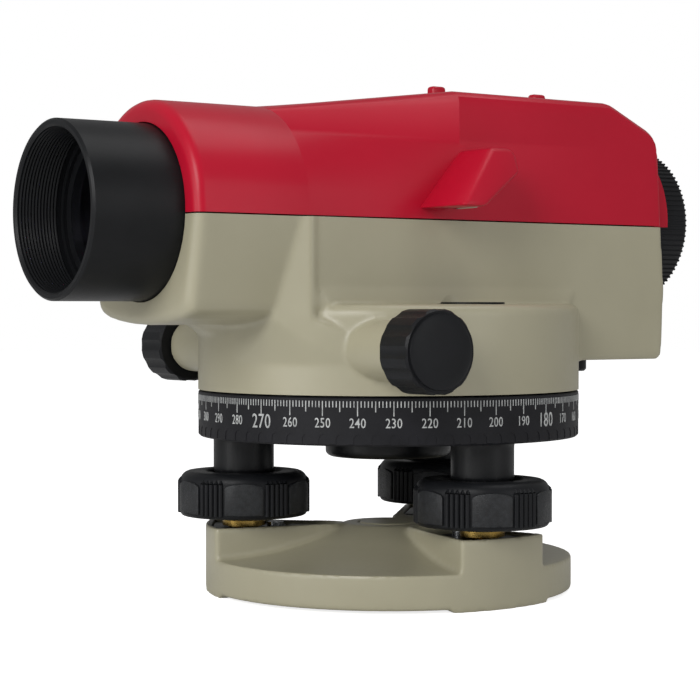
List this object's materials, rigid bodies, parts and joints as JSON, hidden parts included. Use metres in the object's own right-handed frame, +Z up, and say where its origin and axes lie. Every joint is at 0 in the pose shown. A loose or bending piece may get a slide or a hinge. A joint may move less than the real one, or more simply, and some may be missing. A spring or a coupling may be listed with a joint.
{
  "type": "automatic level",
  "caption": "Automatic surveying level: telescope with swinging compensator and side focusing knob, on a graduated circle and a levelling base with foot screws and a tripod thread.",
  "frame": {"origin": "on the standing axis, in the plane of the base plate's underside, at the mouth of the tripod thread", "axes": "+X along the line of sight towards the objective, +Y towards the circular level and its mirror, +Z up along the standing axis"},
  "size_m": [0.187, 0.1268, 0.133],
  "materials": {
    "beige_paint": "semi-gloss fine-grained paint on cast aluminium",
    "red_paint": "glossy paint on cast aluminium",
    "blackened_steel": "blackened sheet steel",
    "bright_steel": "turned steel",
    "brass": "turned brass",
    "black_plastic": "moulded black plastic, satin",
    "black_enamel": "satin black enamel",
    "circle_plastic": "moulded black plastic with pale printed marks",
    "black_anodised": "black anodised aluminium, satin",
    "bright_aluminium": "turned aluminium",
    "mirror_glass": "front-silvered mirror",
    "optical_glass": "coated optical glass"
  },
  "bodies": {
    "base": {"base_plate": "beige_paint", "hub_plug": "beige_paint", "foot_clamp_1": "blackened_steel", "foot_clamp_2": "blackened_steel", "foot_clamp_3": "blackened_steel", "clamp_screws": "bright_steel"},
    "tribrach": {"tribrach_head": "black_enamel", "leg_bush_1": "brass", "leg_bush_2": "brass", "leg_bush_3": "brass", "axis_bush": "bright_steel", "clutch_nut": "bright_steel"},
    "foot_knob_1": {"foot_knob_1": "black_plastic"},
    "foot_spindle_1": {"foot_spindle_1": "brass"},
    "foot_screw_2": {"foot_knob_2": "black_plastic", "foot_spindle_2": "brass"},
    "foot_screw_3": {"foot_knob_3": "black_plastic", "foot_spindle_3": "brass"},
    "circle": {"horizontal_circle": "circle_plastic"},
    "clutch": {"worm_wheel": "brass"},
    "instrument": {"standing_axis": "bright_steel", "bottom_plate": "black_enamel", "bottom_screws": "bright_steel", "main_housing": "beige_paint", "top_cover": "red_paint", "cover_screws": "bright_steel", "bubble_mirror": "mirror_glass", "level_cup": "black_anodised", "level_vial": "optical_glass", "circle_index": "beige_paint", "objective_tube": "black_anodised", "objective_lens": "optical_glass", "objective_ring": "black_anodised", "telescope_barrel": "black_anodised", "focus_bush": "brass", "compensator_frame": "bright_aluminium", "suspension_wires": "bright_steel", "fixed_prisms": "optical_glass", "damper_cup": "bright_aluminium", "reticle_cell": "brass", "reticle": "optical_glass", "eyepiece_mount": "black_anodised", "tangent_bush_left": "brass", "tangent_bush_right": "brass"},
    "tangent_screw": {"tangent_shaft": "bright_steel", "tangent_knob_left": "black_plastic", "tangent_knob_right": "black_plastic"},
    "focus_knob": {"focus_knob": "black_plastic", "focus_pinion": "bright_steel"},
    "focus_carrier": {"focus_carrier": "brass", "focus_lens": "optical_glass"},
    "pendulum": {"compensator_pendulum": "brass", "pendulum_prism": "optical_glass"},
    "eyepiece_ring": {"eyepiece_ring": "black_plastic"},
    "eyepiece_cell": {"eyepiece_cell": "bright_aluminium", "eyepiece_lens": "optical_glass"},
    "check_button": {"check_button": "black_plastic"}
  },
  "joints": [
    {"name": "levelling_tilt", "type": "hinge", "parent": "base", "child": "tribrach", "pos_m": [0.00073, -0.01904, 0.013], "axis": [0.9993, 0.0384, 0], "range_deg": [-1.2, 1.2]},
    {"name": "foot_knob_1_turn", "type": "hinge", "parent": "tribrach", "child": "foot_knob_1", "pos_m": [-0.00146, 0.03807, 0.026], "axis": [0, 0, 1], "range_deg": [-445, 445]},
    {"name": "foot_spindle_1_travel", "type": "slide", "parent": "tribrach", "child": "foot_spindle_1", "axis": [0, 0, 1], "range_m": [-0.0013, 0.0013]},
    {"name": "foot_screw_2_turn", "type": "hinge", "parent": "tribrach", "child": "foot_screw_2", "pos_m": [-0.03224, -0.0203, 0.026], "axis": [0, 0, 1], "range_deg": [-445, 445]},
    {"name": "foot_screw_3_turn", "type": "hinge", "parent": "tribrach", "child": "foot_screw_3", "pos_m": [0.0337, -0.01777, 0.026], "axis": [0, 0, 1], "range_deg": [-445, 445]},
    {"name": "circle_turn", "type": "hinge", "parent": "tribrach", "child": "circle", "pos_m": [0, 0, 0.046], "axis": [0, 0, 1], "continuous": true},
    {"name": "coarse_turn", "type": "hinge", "parent": "tribrach", "child": "clutch", "pos_m": [0, 0, 0.0636], "axis": [0, 0, 1], "continuous": true},
    {"name": "fine_turn", "type": "hinge", "parent": "clutch", "child": "instrument", "pos_m": [0, 0, 0.0636], "axis": [0, 0, 1], "continuous": true},
    {"name": "tangent_turn", "type": "hinge", "parent": "instrument", "child": "tangent_screw", "pos_m": [0.03, 0, 0.0636], "axis": [0, 1, 0], "continuous": true},
    {"name": "focus_knob_turn", "type": "hinge", "parent": "instrument", "child": "focus_knob", "pos_m": [0.008, -0.038, 0.0906], "axis": [0, 1, 0], "range_deg": [-150, 150]},
    {"name": "focus_slide", "type": "slide", "parent": "instrument", "child": "focus_carrier", "axis": [1, 0, 0], "range_m": [-0.008, 0.008]},
    {"name": "compensator_swing", "type": "hinge", "parent": "instrument", "child": "pendulum", "pos_m": [-0.024, 0, 0.114], "axis": [0, 1, 0], "range_deg": [-0.25, 0.25]},
    {"name": "eyepiece_turn", "type": "hinge", "parent": "instrument", "child": "eyepiece_ring", "pos_m": [-0.083, 0, 0.0976], "axis": [1, 0, 0], "range_deg": [-170, 170]},
    {"name": "eyepiece_slide", "type": "slide", "parent": "instrument", "child": "eyepiece_cell", "axis": [1, 0, 0], "range_m": [-0.0015, 0.0015]},
    {"name": "check_button_press", "type": "slide", "parent": "instrument", "child": "check_button", "axis": [0, 0, 1], "range_m": [0, 0.002], "stiffness_N_per_m": 150, "springref_m": -0.001}
  ],
  "couplings": [
    {"joint": "foot_knob_1_turn", "follows": "levelling_tilt", "ratio": 359.08},
    {"joint": "foot_spindle_1_travel", "follows": "levelling_tilt", "m_per_rad": -0.05715},
    {"joint": "tangent_turn", "follows": "fine_turn", "ratio": -90},
    {"joint": "focus_slide", "follows": "focus_knob_turn", "m_per_rad": 0.003},
    {"joint": "eyepiece_slide", "follows": "eyepiece_turn", "m_per_rad": 0.0005}
  ]
}
